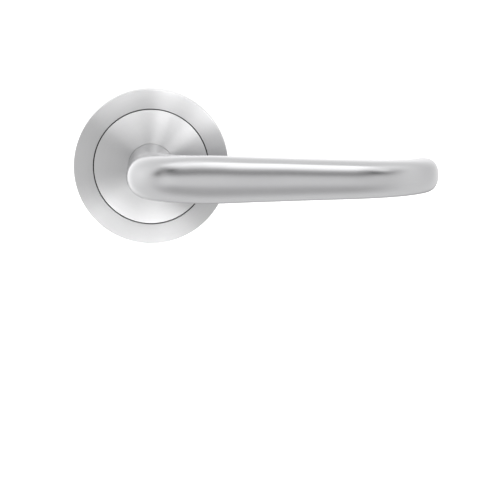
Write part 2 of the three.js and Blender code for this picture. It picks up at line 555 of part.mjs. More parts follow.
function carrierSolid() {
  const [f, b] = CARRIER_WEB, n = 44, inR = inscribed(28.95, n), bead = inscribed(28.3, n), hole = inscribed(CARRIER_HOLE_R, n);
  const ring = turned([[hole, f], [CARRIER_R, f], [CARRIER_R, -1.2], [bead + 0.3, -1.2], [bead, -1.5], [bead, -2.2], [inR, -2.7], [inR, b], [hole, b]], n);
  return ring;
}

function washer(r0, r1, y0, y1, segments) {
  return turned([[inscribed(r0, segments), y0], [r1, y0], [r1, y1], [inscribed(r0, segments), y1]], segments);
}

function bush(flange, sleeve, flangeR, segments = 32) {
  const bore = inscribed(JOURNAL_R + RUN, segments), [f0, f1] = flange, [s0, s1] = sleeve;
  const profile = f0 <= s0
    ? [[bore, f0], [flangeR, f0], [flangeR, f1], [9.4, f1], [9.4, s1], [bore, s1]]
    : [[bore, s0], [9.4, s0], [9.4, f0], [flangeR, f0], [flangeR, f1], [bore, f1]];
  return turned(profile, segments);
}

// ------------------------------------------------------------------ assembly

function mesh(name, geometry, material) {
  const g = solid(geometry);
  g.computeVertexNormals();
  const m = new THREE.Mesh(g, material);
  m.name = name;
  return m;
}

const handle = new THREE.Group();

// fixed to the door
const fixed = new THREE.Group();
fixed.add(
  mesh('mounting_plate', plateSolid(), ZINC()),
  mesh('spring_housing', housingSolid(), ZINC()),
  mesh('front_bearing_bush', bush([-4.2, -3.4], [-4.2, 0.3], 12.4), BRONZE()),
  mesh('rear_bearing_bush', bush([11.0, 11.8], [8.9, 11.8], 11.6), BRONZE()),
  mesh('thrust_washer', washer(8.3, 12.0, -5.3, -4.5, 32), ACETAL_WHITE()),
  mesh('return_spring', springSolid(), SPRING_STEEL()),
  mesh('snap_ring', snapRingSolid(), SPRING_STEEL()),
  mesh('housing_screw_top', housingScrewSolid(EAR_AT[0]), PLATED()),
  mesh('housing_screw_left', housingScrewSolid(EAR_AT[1]), PLATED()),
  mesh('housing_screw_right', housingScrewSolid(EAR_AT[2]), PLATED()),
  mesh('fixing_bolt_left', boltSolid(-FIX_X), PLATED()),
  mesh('fixing_bolt_right', boltSolid(FIX_X), PLATED()),
  mesh('lock_washer_left', lockWasherSolid(-FIX_X), BLACK_OXIDE()),
  mesh('lock_washer_right', lockWasherSolid(FIX_X), BLACK_OXIDE()),
);

// turns with the lever
const turning = new THREE.Group();
turning.add(
  mesh('lever', leverSolid(), SATIN()),
  mesh('spindle', spindleSolid(), PLATED()),
  mesh('grub_screw', grubSolid(), BLACK_OXIDE()),
  mesh('driver_cam', driverCamSolid(), SINTERED()),
  mesh('wave_washer', waveWasherSolid(), SPRING_STEEL()),
  mesh('retaining_circlip', circlipSolid(), BLACK_OXIDE()),
);

// snaps over the plate
const cover = new THREE.Group();
cover.add(
  mesh('rose_cover_ring', coverRingSolid(), SATIN()),
  mesh('rose_centre_disc', centreDiscSolid(), SATIN()),
  mesh('cover_carrier', carrierSolid(), ACETAL_BLACK()),
);

handle.add(fixed, turning, cover);

export default handle;
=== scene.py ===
import math

import bmesh
import bpy
import numpy as np
from mathutils import Matrix, Vector


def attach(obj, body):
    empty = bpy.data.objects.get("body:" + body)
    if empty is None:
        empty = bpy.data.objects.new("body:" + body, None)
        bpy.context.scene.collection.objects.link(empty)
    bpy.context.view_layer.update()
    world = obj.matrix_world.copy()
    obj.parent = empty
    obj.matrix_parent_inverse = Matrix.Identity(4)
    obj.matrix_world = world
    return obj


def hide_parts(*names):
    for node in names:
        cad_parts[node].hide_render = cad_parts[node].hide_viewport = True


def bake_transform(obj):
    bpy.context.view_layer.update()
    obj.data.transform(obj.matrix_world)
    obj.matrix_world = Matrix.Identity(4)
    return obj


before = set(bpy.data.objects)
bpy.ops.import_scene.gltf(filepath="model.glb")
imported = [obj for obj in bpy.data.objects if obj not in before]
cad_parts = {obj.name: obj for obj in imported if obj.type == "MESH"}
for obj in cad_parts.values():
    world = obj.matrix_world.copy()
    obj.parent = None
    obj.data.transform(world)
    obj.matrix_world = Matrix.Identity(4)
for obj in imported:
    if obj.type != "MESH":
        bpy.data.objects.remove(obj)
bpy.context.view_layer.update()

SCENE = bpy.context.scene
SCENE.view_settings.view_transform = "Standard"
SCENE.view_settings.look = "None"
SCENE.view_settings.exposure = 0.0
SCENE.view_settings.gamma = 1.0
SCENE.render.film_transparent = False
MM = 0.001
TAU = 2 * math.pi

# ------------------------------------------------------------------- camera
# Seen from in front and a little above, from 1.5 m, with a long lens. The view is turned rather than shifted.
CAM_X, CAM_D, CAM_EL, ROSE_Y = 0.025, 1.5, math.radians(6.8), -0.008
FOCAL_PX = CAM_D / 0.414e-3
forward = Vector((0, math.cos(CAM_EL), -math.sin(CAM_EL)))
upward = Vector((0, math.sin(CAM_EL), math.cos(CAM_EL)))
cam_at = Vector((CAM_X, ROSE_Y, 0)) - CAM_D * forward
aim = (FOCAL_PX * forward + 38.45 * Vector((1, 0, 0)) - 83.46 * upward).normalized()
cam = bpy.data.objects.new("camera", bpy.data.cameras.new("camera"))
SCENE.collection.objects.link(cam)
cam.data.sensor_width = 36.0
cam.data.lens = 36.0 * FOCAL_PX / 500.0
cam.data.clip_start, cam.data.clip_end = 0.05, 30.0
cam.location = cam_at
cam.rotation_mode = "QUATERNION"
cam.rotation_quaternion = aim.to_track_quat("-Z", "Y")
SCENE.camera = cam

# --------------------------------------------------------------- dimensions
ROSE_R, ROSE_H, ROSE_SHEET, ROSE_EDGE = 32.0, 8.0, 1.2, 0.3
SEAM_IN, SEAM_OUT, NECK_HOLE, SKIRT_IN = 23.6, 24.05, 9.63, 30.7
CARRIER_R, CARRIER_HOLE = 30.3, 10.35
NECK_R, SHOULDER_Y, JOURNAL_R, JOURNAL_FLAT, TAIL_END = 9.6, -5.6, 8.0, 7.0, 15.4
SOCKET_HALF, SOCKET_BOTTOM = 4.3, -22.0
BEND_START = -33.59
ROOT_L, RUN_L, TIP_L = 36.18, 50.51, 45.43
RUN_TURN, TIP_TURN, ROOT_EASE, TIP_EASE, CAP_L, ELBOW_R = 2.0, 86.88, 1.57, 1.94, 7.5, 18.37
CAP_POWER, CROOK_POWER = 2.5, 2.3
HALF_HEIGHT = [(0, 9.6), (0.12, 9.6), (0.25, 9.71), (0.4, 9.1), (0.55, 8.45), (0.7, 7.9), (0.85, 7.32), (0.93, 7.09), (1, 6.97)]
HALF_THICK = [(0.25, 6.45), (0.274, 6.45), (0.5, 5.78), (0.8, 5.78), (1, 5.92)]
ROUNDNESS = [(0, 2.0), (0.22, 2.41), (1, 2.41)]
FIX_X, EAR_R, EAR_AT = 19.0, 17.6, (90, 210, 330)
CAM_AT, CAM_HALF, TRAVEL, PLAY = 90, 16, 45, 0.8
SPRING_R, WIRE_R, SPRING_Y, SPRING_TURNS = 12.0, 0.9, (3.45, 8.2), 2.25

# ------------------------------------------------------------- mesh helpers


def rad(d):
    return math.radians(d)


def smooth_table(table):
    x = np.array([t[0] for t in table], float)
    v = np.array([t[1] for t in table], float)
    h, s = np.diff(x), np.diff(v) / np.diff(x)
    n = len(x)
    m = np.zeros(n)
    for i in range(1, n - 1):
        if s[i - 1] * s[i] > 0:
            w1, w2 = 2 * h[i] + h[i - 1], h[i] + 2 * h[i - 1]
            m[i] = (w1 + w2) / (w1 / s[i - 1] + w2 / s[i])

    def end(h0, h1, s0, s1):
        d = ((2 * h0 + h1) * s0 - h0 * s1) / (h0 + h1)
        if np.sign(d) != np.sign(s0):
            return 0.0
        if np.sign(s0) != np.sign(s1) and abs(d) > 3 * abs(s0):
            return 3 * s0
        return d

    m[0] = end(h[0], h[1] if n > 2 else h[0], s[0], s[1] if n > 2 else s[0])
    m[-1] = end(h[-1], h[-2] if n > 2 else h[-1], s[-1], s[-2] if n > 2 else s[-1])

    def f(t):
        i = int(min(max(np.searchsorted(x, t, side="left") - 1, 0), n - 2))
        u = min(1.0, max(0.0, (t - x[i]) / h[i]))
        return float(
            (2 * u**3 - 3 * u**2 + 1) * v[i] + (u**3 - 2 * u**2 + u) * h[i] * m[i]
            + (-2 * u**3 + 3 * u**2) * v[i + 1] + (u**3 - u**2) * h[i] * m[i + 1]
        )

    return f


def new_object(name, verts, faces):
    """An object from points in mm."""
    me = bpy.data.meshes.new(name)
    me.from_pydata([tuple(c * MM for c in v) for v in verts], [], faces)
    bm = bmesh.new()
    bm.from_mesh(me)
    bmesh.ops.remove_doubles(bm, verts=bm.verts, dist=1e-7)
    bmesh.ops.dissolve_degenerate(bm, edges=bm.edges, dist=1e-8)
    bmesh.ops.recalc_face_normals(bm, faces=bm.faces)
    bm.to_mesh(me)
    bm.free()
    ob = bpy.data.objects.new(name, me)
    SCENE.collection.objects.link(ob)
    return ob


def rounded(points, seg=5):
    """A closed outline whose corners are filleted. Each point is (a, b, fillet radius)."""
    out, n = [], len(points)
    for i, p in enumerate(points):
        r = p[2] if len(p) > 2 else 0.0
        here = np.array(p[:2], float)
        if r <= 0:
            out.append(tuple(here))
            continue
        a, b = np.array(points[i - 1][:2], float), np.array(points[(i + 1) % n][:2], float)
        u, v = a - here, b - here
        lu, lv = np.linalg.norm(u), np.linalg.norm(v)
        u, v = u / lu, v / lv
        ang = math.acos(max(-1, min(1, float(u @ v))))
        if ang > math.pi - 1e-3:
            out.append(tuple(here))
            continue
        t = min(r / math.tan(ang / 2), 0.49 * lu, 0.49 * lv)
        rr = t * math.tan(ang / 2)
        mid = (u + v) / np.linalg.norm(u + v)
        c = here + mid * (rr / math.sin(ang / 2))
        p0, p1 = here + u * t - c, here + v * t - c
        w = math.acos(max(-1, min(1, float(p0 @ p1) / (rr * rr))))
        for k in range(seg + 1):
            f = k / seg
            q = (math.sin((1 - f) * w) * p0 + math.sin(f * w) * p1) / math.sin(w)
            out.append(tuple(c + q))
    return out


def revolve(name, outline, n=192):
    """A closed (r, y) outline turned about the Y axis. It may touch the axis at its first and last points."""
    m = len(outline)
    verts, faces = [], []
    for j in range(n):
        a = TAU * j / n
        for r, y in outline:
            verts.append((r * math.cos(a), y, r * math.sin(a)))
    on_axis = outline[0][0] < 1e-9 and outline[-1][0] < 1e-9
    for j in range(n):
        k = (j + 1) % n
        for i in range(m - 1 if on_axis else m):
            i2 = (i + 1) % m
            faces.append((j * m + i, j * m + i2, k * m + i2, k * m + i))
    return new_object(name, verts, faces)


def loft(name, rings, closed=False):
    n, rows = len(rings[0]), len(rings)
    verts = [tuple(p) for ring in rings for p in ring]
    faces = []
    for i in range(rows if closed else rows - 1):
        k = (i + 1) % rows
        for j in range(n):
            j2 = (j + 1) % n
            faces.append((i * n + j, i * n + j2, k * n + j2, k * n + j))
    if not closed:
        faces.append(tuple(range(n)))
        faces.append(tuple((rows - 1) * n + j for j in range(n)))
    return new_object(name, verts, faces)


def offset2d(points, d):
    """Moves a closed counter-clockwise outline inwards by d."""
    p = np.array(points, float)
    prev, nxt = np.roll(p, 1, 0), np.roll(p, -1, 0)
    e1, e2 = p - prev, nxt - p
    e1 /= np.linalg.norm(e1, axis=1)[:, None]
    e2 /= np.linalg.norm(e2, axis=1)[:, None]
    n1, n2 = np.c_[-e1[:, 1], e1[:, 0]], np.c_[-e2[:, 1], e2[:, 0]]
    m = n1 + n2
    m /= np.maximum((m * m).sum(1)[:, None] / 2, 0.35)
    return p + m * d


def plate_of(name, outline, y0, y1, chamfer=0.1):
    """An outline in X and Z, counter-clockwise, made solid from y0 to y1 with broken edges."""
    o = np.array(outline, float)
    area = 0.5 * float(np.sum(o[:, 0] * np.roll(o[:, 1], -1) - np.roll(o[:, 0], -1) * o[:, 1]))
    if area < 0:
        o = o[::-1]
    inner = offset2d(o, chamfer)
    rings = []
    for pts, y in ((inner, y0), (o, y0 + chamfer), (o, y1 - chamfer), (inner, y1)):
        rings.append([(p[0], y, p[1]) for p in pts])
    return loft(name, rings)


def cylinder(r, y0, y1, x=0.0, z=0.0, n=64, r1=None):
    r1 = r if r1 is None else r1
    rings = [[(x + q * math.cos(TAU * j / n), y, z + q * math.sin(TAU * j / n)) for j in range(n)] for q, y in ((r, y0), (r1, y1))]
    return loft("tool", rings)


def block(x0, x1, y0, y1, z0, z1):
    rings = [[(x0, y, z0), (x1, y, z0), (x1, y, z1), (x0, y, z1)] for y in (y0, y1)]
    return loft("tool", rings)


def prism(sides, across_flats, y0, y1, x=0.0, z=0.0, turn=0.0):
    r = across_flats / 2 / math.cos(math.pi / sides)
    rings = [[(x + r * math.cos(TAU * j / sides + turn), y, z + r * math.sin(TAU * j / sides + turn)) for j in range(sides)] for y in (y0, y1)]
    return loft("tool", rings)


def boolean(ob, tools, operation="DIFFERENCE"):
    for tool in tools:
        m = ob.modifiers.new("cut", "BOOLEAN")
        m.operation, m.solver, m.object = operation, "EXACT", tool
        bpy.context.view_layer.update()
        dg = bpy.context.evaluated_depsgraph_get()
        me = bpy.data.meshes.new_from_object(ob.evaluated_get(dg))
        ob.modifiers.clear()
        old = ob.data
        ob.data = me
        bpy.data.meshes.remove(old)
        bpy.data.objects.remove(tool)
    return tidy(ob)


def tidy(ob, reach=2e-6):
    """Closes up the slivers that a cut leaves behind."""
    bm = bmesh.new()
    bm.from_mesh(ob.data)
    bmesh.ops.remove_doubles(bm, verts=bm.verts, dist=reach)
    bmesh.ops.dissolve_degenerate(bm, edges=bm.edges, dist=reach)
    bmesh.ops.triangulate(bm, faces=[f for f in bm.faces if len(f.verts) > 4])
    bmesh.ops.dissolve_degenerate(bm, edges=bm.edges, dist=reach)
    bmesh.ops.delete(bm, geom=[e for e in bm.edges if not e.link_faces], context="EDGES")
    bmesh.ops.delete(bm, geom=[v for v in bm.verts if not v.link_faces], context="VERTS")
    rims = [e for e in bm.edges if e.is_boundary]
    if rims:
        bmesh.ops.holes_fill(bm, edges=rims, sides=8)
    bmesh.ops.recalc_face_normals(bm, faces=bm.faces)
    bm.to_mesh(ob.data)
    bm.free()
    return ob


def finish_mesh(ob, sharp=28.0):
    me = ob.data
    me.polygons.foreach_set("use_smooth", [True] * len(me.polygons))
    me.set_sharp_from_angle(angle=rad(sharp))
    me.update()
    return ob


def weigh_normals(ob):
    """Keeps a broad flat face flat right up to its small chamfers."""
    m = ob.modifiers.new("weigh", "WEIGHTED_NORMAL")
    m.mode, m.weight, m.keep_sharp = "FACE_AREA", 100, True
    bpy.context.view_layer.update()
    me = bpy.data.meshes.new_from_object(ob.evaluated_get(bpy.context.evaluated_depsgraph_get()))
    ob.modifiers.clear()
    old = ob.data
    ob.data = me
    bpy.data.meshes.remove(old)


def place(ob, body, nodes, material, sharp=28.0, flat=False):
    finish_mesh(ob, sharp)
    if flat:
        weigh_normals(ob)
    ob.data.materials.clear()
    ob.data.materials.append(material)
    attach(ob, body)
    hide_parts(*([nodes] if isinstance(nodes, str) else nodes))
    return ob


# ---------------------------------------------------------------- materials


class Graph:
    """A small helper for building node materials."""

    def __init__(self, name):
        self.material = bpy.data.materials.new(name)
        self.material.use_nodes = True
        self.nt = self.material.node_tree
        self.nt.nodes.clear()
        self.out = self.nt.nodes.new("ShaderNodeOutputMaterial")
        self.bsdf = self.nt.nodes.new("ShaderNodeBsdfPrincipled")
        self.nt.links.new(self.bsdf.outputs[0], self.out.inputs["Surface"])

    def node(self, kind, **props):
        n = self.nt.nodes.new(kind)
        for k, v in props.items():
            setattr(n, k, v)
        return n

    def feed(self, socket, value):
        if isinstance(value, bpy.types.NodeSocket):
            self.nt.links.new(value, socket)
        else:
            socket.default_value = value

    def math(self, op, a, b=None, c=None, clamp=False):
        n = self.node("ShaderNodeMath", operation=op, use_clamp=clamp)
        for s, v in zip(n.inputs, (a, b, c)):
            if v is not None:
                self.feed(s, v)
        return n.outputs[0]

    def position(self):
        n = self.node("ShaderNodeTexCoord")
        sep = self.node("ShaderNodeSeparateXYZ")
        self.nt.links.new(n.outputs["Object"], sep.inputs[0])
        return n.outputs["Object"], sep.outputs[0], sep.outputs[1], sep.outputs[2]

    def combine(self, x, y, z):
        n = self.node("ShaderNodeCombineXYZ")
        for s, v in zip(n.inputs, (x, y, z)):
            self.feed(s, v)
        return n.outputs[0]

    def noise(self, vector, scale, detail=3.0, rough=0.5, distortion=0.0):
        n = self.node("ShaderNodeTexNoise")
        self.feed(n.inputs["Vector"], vector)
        n.inputs["Scale"].default_value = scale
        n.inputs["Detail"].default_value = detail
        n.inputs["Roughness"].default_value = rough
        n.inputs["Distortion"].default_value = distortion
        return n.outputs["Fac"]

    def ramp(self, fac, stops, interpolation="LINEAR"):
        n = self.node("ShaderNodeValToRGB")
        r = n.color_ramp
        r.interpolation = interpolation
        while len(r.elements) > len(stops):
            r.elements.remove(r.elements[-1])
        while len(r.elements) < len(stops):
            r.elements.new(1.0)
        for e, (p, c) in zip(r.elements, stops):
            e.position = p
            e.color = (c, c, c, 1) if isinstance(c, (int, float)) else (*c, 1)
        self.feed(n.inputs[0], fac)
        return n.outputs[0]

    def map_range(self, v, a, b, c, d):
        n = self.node("ShaderNodeMapRange")
        for s, x in zip(n.inputs, (v, a, b, c, d)):
            self.feed(s, x)
        return n.outputs[0]

    def mix(self, fac, a, b):
        n = self.node("ShaderNodeMix", data_type="RGBA")
        self.feed(n.inputs[0], fac)
        for s, v in ((n.inputs[6], a), (n.inputs[7], b)):
            if isinstance(v, bpy.types.NodeSocket):
                self.nt.links.new(v, s)
            else:
                s.default_value = (*v, 1) if len(v) == 3 else v
        return n.outputs[2]

    def bump(self, height, strength, distance):
        n = self.node("ShaderNodeBump")
        n.inputs["Strength"].default_value = strength
        n.inputs["Distance"].default_value = distance
        self.feed(n.inputs["Height"], height)
        self.nt.links.new(n.outputs[0], self.bsdf.inputs["Normal"])
        return n

    def set(self, **values):
        for k, v in values.items():
            name = k.replace("_", " ")
            self.feed(self.bsdf.inputs[name], (*v, 1) if isinstance(v, tuple) and len(v) == 3 else v)
        return self.material


def turned_coords(g, arc=3.0):
    """Radius in metres and a vector that runs round the Y axis, for lathe marks."""
    _, x, y, z = g.position()
    r = g.math("SQRT", g.math("ADD", g.math("MULTIPLY", x, x), g.math("MULTIPLY", z, z)))
    inv = g.math("DIVIDE", 1.0, g.math("MAXIMUM", r, 1e-5))
    c, s = g.math("MULTIPLY", x, inv), g.math("MULTIPLY", z, inv)
    return r, c, s, y


STEEL = (0.63, 0.63, 0.64)
ROSE_STEEL = (0.63, 0.63, 0.635)


def rose_steel(name):
    """Satin stainless steel brushed in circles about the spindle."""
    g = Graph(name)
    r, c, s, y = turned_coords(g)
    # hair-fine concentric grain: very close across the radius, long round the circle
    fine = g.noise(g.combine(g.math("MULTIPLY", r, 5200.0), g.math("MULTIPLY", c, 9.0), g.math("MULTIPLY", s, 9.0)), 1.0, 3.0, 0.62)
    broad = g.noise(g.combine(g.math("MULTIPLY", r, 900.0), g.math("MULTIPLY", c, 3.0), g.math("MULTIPLY", s, 3.0)), 1.0, 2.0, 0.5)
    streak = g.math("ADD", g.math("MULTIPLY", fine, 0.65), g.math("MULTIPLY", broad, 0.35))
    col = g.mix(g.map_range(streak, 0.2, 0.8, 0.0, 1.0), tuple(v * 0.965 for v in ROSE_STEEL), tuple(v * 1.03 for v in ROSE_STEEL))
    rough = g.map_range(streak, 0.2, 0.8, ROSE_ROUGH - 0.03, ROSE_ROUGH + 0.03)
    tan = g.node("ShaderNodeTangent", direction_type="RADIAL", axis="Y")
    g.nt.links.new(tan.outputs[0], g.bsdf.inputs["Tangent"])
    g.bump(streak, 0.10, 0.00002)
    g.set(Base_Color=col, Metallic=1.0, Roughness=rough, Anisotropic=ROSE_ANISO)
    g.bsdf.inputs["Anisotropic Rotation"].default_value = ROSE_ANISO_ROT
    return g.material


# depth where the painted shade on the lever's neck fades out
NECK_SHADE_TO = -0.038
EDGE_TINT = 0.87      # steel reflects less just before grazing


def lever_steel(name):
    """Satin stainless steel finished along the grip."""
    g = Graph(name)
    a = g.node("ShaderNodeAttribute", attribute_name="flow", attribute_type="GEOMETRY")
    sep = g.node("ShaderNodeSeparateXYZ")
    g.nt.links.new(a.outputs["Vector"], sep.inputs[0])
    s, c, q = sep.outputs
    fine = g.noise(g.combine(g.math("MULTIPLY", s, 160.0), g.math("MULTIPLY", c, 42.0), g.math("MULTIPLY", q, 42.0)), 1.0, 3.0, 0.6)
    soft = g.noise(g.combine(g.math("MULTIPLY", s, 30.0), g.math("MULTIPLY", c, 5.0), g.math("MULTIPLY", q, 5.0)), 1.0, 2.0, 0.5)
    pos, *_ = g.position()
    mottle = g.noise(pos, 1400.0, 2.0, 0.5)
    grain = g.math("ADD", g.math("MULTIPLY", fine, 0.6), g.math("MULTIPLY", soft, 0.4))
    col = g.mix(g.map_range(grain, 0.2, 0.8, 0.0, 1.0), tuple(v * 0.97 for v in STEEL), tuple(v * 1.025 for v in STEEL))
    # the neck's colour is darkened as painted shade, with faint turned ring marks in it; the brushing of the grip fades
    # in at the start of the elbow
    _, _, depth, _ = g.position()
    painted_neck_shade = g.map_range(depth, NECK_SHADE_TO - 0.0012, NECK_SHADE_TO + 0.0012, 0.0, 1.0)
    rings = g.noise(g.combine(g.math("MULTIPLY", depth, 6000.0), 0.0, 0.0), 1.0, 2.0, 0.5)
    col = g.mix(painted_neck_shade, col, g.mix(rings, tuple(v * 0.78 for v in STEEL), tuple(v * 0.86 for v in STEEL)))
    rough = g.math("ADD", g.map_range(grain, 0.2, 0.8, LEVER_ROUGH - 0.02, LEVER_ROUGH + 0.025), g.map_range(mottle, 0.3, 0.7, -0.008, 0.008))
    g.bump(g.math("ADD", grain, g.math("MULTIPLY", mottle, 0.25)), 0.06, 0.00002)
    g.set(Base_Color=col, Metallic=1.0, Roughness=rough)
    g.bsdf.inputs["Specular Tint"].default_value = (EDGE_TINT, EDGE_TINT, EDGE_TINT, 1.0)
    return g.material


def turned_metal(name, colour, rough, spread=0.05, bump=0.12, metallic=1.0, aniso=0.35):
    """Metal turned on a lathe: fine rings about the spindle axis."""
    g = Graph(name)
    r, c, s, y = turned_coords(g)
    rings = g.noise(g.combine(g.math("MULTIPLY", r, 2600.0), g.math("MULTIPLY", y, 2600.0), g.math("MULTIPLY", c, 0.8)), 1.0, 3.0, 0.6)
    pos, *_ = g.position()
    blot = g.noise(pos, 260.0, 4.0, 0.6)
    f = g.math("ADD", g.math("MULTIPLY", rings, 0.6), g.math("MULTIPLY", blot, 0.4))
    col = g.mix(g.map_range(f, 0.25, 0.75, 0.0, 1.0), tuple(v * 0.86 for v in colour), tuple(min(1.0, v * 1.08) for v in colour))
    g.bump(rings, bump, 0.00004)
    g.set(Base_Color=col, Metallic=metallic, Roughness=g.map_range(f, 0.25, 0.75, rough - spread, rough + spread), Anisotropic=aniso)
    return g.material


def cast_metal(name, colour, rough):
    """Tumbled zinc casting: soft orange-peel skin, duller in the hollows, brighter on edges."""
    g = Graph(name)
    pos, *_ = g.position()
    peel = g.noise(pos, 900.0, 4.0, 0.65)
    cloud = g.noise(pos, 120.0, 3.0, 0.55)
    edge = g.node("ShaderNodeNewGeometry").outputs["Pointiness"]
    worn = g.map_range(edge, 0.5, 0.56, 0.0, 0.6)
    base = g.mix(g.map_range(cloud, 0.3, 0.7, 0.0, 1.0), tuple(v * 0.86 for v in colour), tuple(v * 1.05 for v in colour))
    col = g.mix(worn, base, tuple(min(1.0, v * 1.25) for v in colour))
    g.bump(peel, 0.22, 0.00006)
    g.set(Base_Color=col, Metallic=1.0, Roughness=g.map_range(peel, 0.3, 0.7, rough - 0.06, rough + 0.08))
    return g.material


def plated(name, colour, rough, drift=(0.0, 0.0, 0.0)):
    """Zinc-plated or blackened steel with a faint, uneven passivate tint."""
    g = Graph(name)
    pos, *_ = g.position()
    tint = g.noise(pos, 90.0, 3.0, 0.6)
    micro = g.noise(pos, 2400.0, 2.0, 0.5)
    other = tuple(min(1.0, max(0.0, v + d)) for v, d in zip(colour, drift))
    col = g.mix(g.map_range(tint, 0.35, 0.65, 0.0, 1.0), colour, other)
    g.bump(micro, 0.04, 0.00002)
    g.set(Base_Color=col, Metallic=1.0, Roughness=g.map_range(micro, 0.3, 0.7, rough - 0.02, rough + 0.03))
    return g.material


def drawn_wire(name, colour, rough):
    """Drawn spring wire, oiled: faint dark bands and fine lines."""
    g = Graph(name)
    pos, *_ = g.position()
    long = g.noise(pos, 500.0, 4.0, 0.7)
    patch = g.noise(pos, 110.0, 2.0, 0.5)
    f = g.math("ADD", g.math("MULTIPLY", long, 0.5), g.math("MULTIPLY", patch, 0.5))
    col = g.mix(g.map_range(f, 0.35, 0.65, 0.0, 1.0), tuple(v * 0.75 for v in colour), tuple(v * 1.15 for v in colour))
    g.bump(long, 0.10, 0.00003)
    g.set(Base_Color=col, Metallic=1.0, Roughness=g.map_range(long, 0.3, 0.7, rough - 0.05, rough + 0.05))
    return g.material


def moulded(name, colour, rough, grain=1500.0):
    """Injection-moulded acetal: fine spark-eroded texture and a little mottling."""
    g = Graph(name)
    pos, *_ = g.position()
    fine = g.noise(pos, grain, 3.0, 0.6)
    cloud = g.noise(pos, 140.0, 2.0, 0.5)
    col = g.mix(g.map_range(cloud, 0.3, 0.7, 0.0, 1.0), tuple(v * 0.9 for v in colour), tuple(min(1.0, v * 1.08) for v in colour))
    g.bump(fine, 0.25, 0.00004)
    g.set(Base_Color=col, Metallic=0.0, Roughness=g.map_range(fine, 0.3, 0.7, rough - 0.06, rough + 0.08))
    g.bsdf.inputs["IOR"].default_value = 1.48
    return g.material


ROSE_ROUGH, ROSE_ANISO, ROSE_ANISO_ROT, LEVER_ROUGH = 0.33, 1.0, 0.25, 0.20

M_ROSE = rose_steel("rose_satin_steel")
M_LEVER = lever_steel("lever_satin_steel")
M_ZINC = cast_metal("zinc_casting", (0.52, 0.53, 0.55), 0.42)
M_PLATED = plated("zinc_plate", (0.60, 0.605, 0.60), 0.30, (0.01, 0.0, -0.025))
M_BLACK = plated("black_oxide", (0.055, 0.056, 0.06), 0.38, (0.015, 0.012, 0.008))
M_SPRING = drawn_wire("spring_wire", (0.30, 0.31, 0.33), 0.32)
M_STRIP = turned_metal("spring_strip", (0.42, 0.42, 0.43), 0.30)
M_BRONZE = turned_metal("bearing_bronze", (0.56, 0.36, 0.17), 0.34)
M_SINTER = cast_metal("sintered_steel", (0.36, 0.37, 0.38), 0.5)
M_ACETAL_BLACK = moulded("black_acetal", (0.018, 0.018, 0.020), 0.42)
M_ACETAL_WHITE = moulded("white_acetal", (0.80, 0.79, 0.75), 0.40)

# --------------------------------------------------------------------- rose
# Ring: flat brushed face, softened outer edge, a crisp chamfer at the seam, hollow behind.
F = -ROSE_H
ring = revolve("rose_ring", rounded([
    (SEAM_OUT, F, 0.10), (ROSE_R, F, ROSE_EDGE), (ROSE_R, -0.3, 0.18), (SKIRT_IN, -0.3, 0.15),
    (SKIRT_IN, F + ROSE_SHEET, 0.35), (SEAM_OUT, F + ROSE_SHEET, 0.08)], 6), 320)
place(ring, "cover_assembly", "rose_cover_ring", M_ROSE)

disc = revolve("rose_disc", rounded([
    (NECK_HOLE, F, 0.02), (SEAM_IN, F, 0.10), (SEAM_IN, F + ROSE_SHEET, 0.08), (NECK_HOLE, F + ROSE_SHEET, 0.02)], 6), 320)
place(disc, "cover_assembly", "rose_centre_disc", M_ROSE)

carrier = revolve("cover_carrier_moulding", rounded([
    (CARRIER_HOLE, -6.5, 0.1), (CARRIER_R, -6.5, 0.25), (CARRIER_R, -1.2, 0.15), (28.6, -1.2, 0.1), (28.3, -1.5, 0.1),
    (28.3, -2.2, 0.1), (28.95, -2.7, 0.2), (28.95, -5.7, 0.3), (CARRIER_HOLE, -5.7, 0.1)], 4), 192)
place(carrier, "cover_assembly", "cover_carrier", M_ACETAL_BLACK)

# -------------------------------------------------------------------- lever
half_height, grip_thick, roundness = smooth_table(HALF_HEIGHT), smooth_table(HALF_THICK), smooth_table(ROUNDNESS)
LEVER_L = ROOT_L + RUN_L + TIP_L


def lever_angle(s):
    if s <= ROOT_L:
        u = max(0.0, s / ROOT_L)
        return 90 - (90 - RUN_TURN / 2) * (1 - (1 - u) ** ROOT_EASE)
    if s <= ROOT_L + RUN_L:
        return RUN_TURN / 2 - RUN_TURN * (s - ROOT_L) / RUN_L
    u = (s - ROOT_L - RUN_L) / TIP_L
    return -RUN_TURN / 2 - (TIP_TURN - RUN_TURN / 2) * u**TIP_EASE


STEP = 0.05
_s = np.arange(0, LEVER_L + STEP / 2, STEP)
_mid = np.array([rad(lever_angle(s + STEP / 2)) for s in _s[:-1]])
_cx = np.concatenate([[0], np.cumsum(np.cos(_mid) * STEP)])
_cy = BEND_START - np.concatenate([[0], np.cumsum(np.sin(_mid) * STEP)])


def centre(s):
    return float(np.interp(s, _s, _cx)), float(np.interp(s, _s, _cy))


def elbow():
    """The outer line of the elbow: the side of the neck, an arc, and the grip's front line carried on."""
    t, thick, (x, y) = rad(RUN_TURN / 2), grip_thick(ROOT_L / LEVER_L), centre(ROOT_L)
    normal, along = np.array([-math.sin(t), -math.cos(t)]), np.array([math.cos(t), -math.sin(t)])
    front = np.array([x, y]) + thick * normal
    k = (ELBOW_R - NECK_R - front[0] + ELBOW_R * normal[0]) / along[0]
    return normal, along, front, front + k * along - ELBOW_R * normal


ELBOW = elbow()
EASE, EASE_FROM = 5.0, 12.0


def half_thick(s):
    if s >= ROOT_L:
        return grip_thick(s / LEVER_L)
    normal, along, front, arc = ELBOW
    t, c = rad(lever_angle(s)), np.array(centre(s))
    n = np.array([-math.sin(t), -math.cos(t)])
    side = (c[0] + NECK_R) / -n[0]
    if n[0] < -1e-6 and c[1] + side * n[1] >= arc[1]:
        return side
    ahead = float((front - c) @ normal) / float(n @ normal)
    if float((c + ahead * n - arc) @ along) >= 0:
        return ahead
    w = c - arc
    b = float(w @ n)
    return -b + math.sqrt(max(0.0, b * b - (float(w @ w) - ELBOW_R**2)))


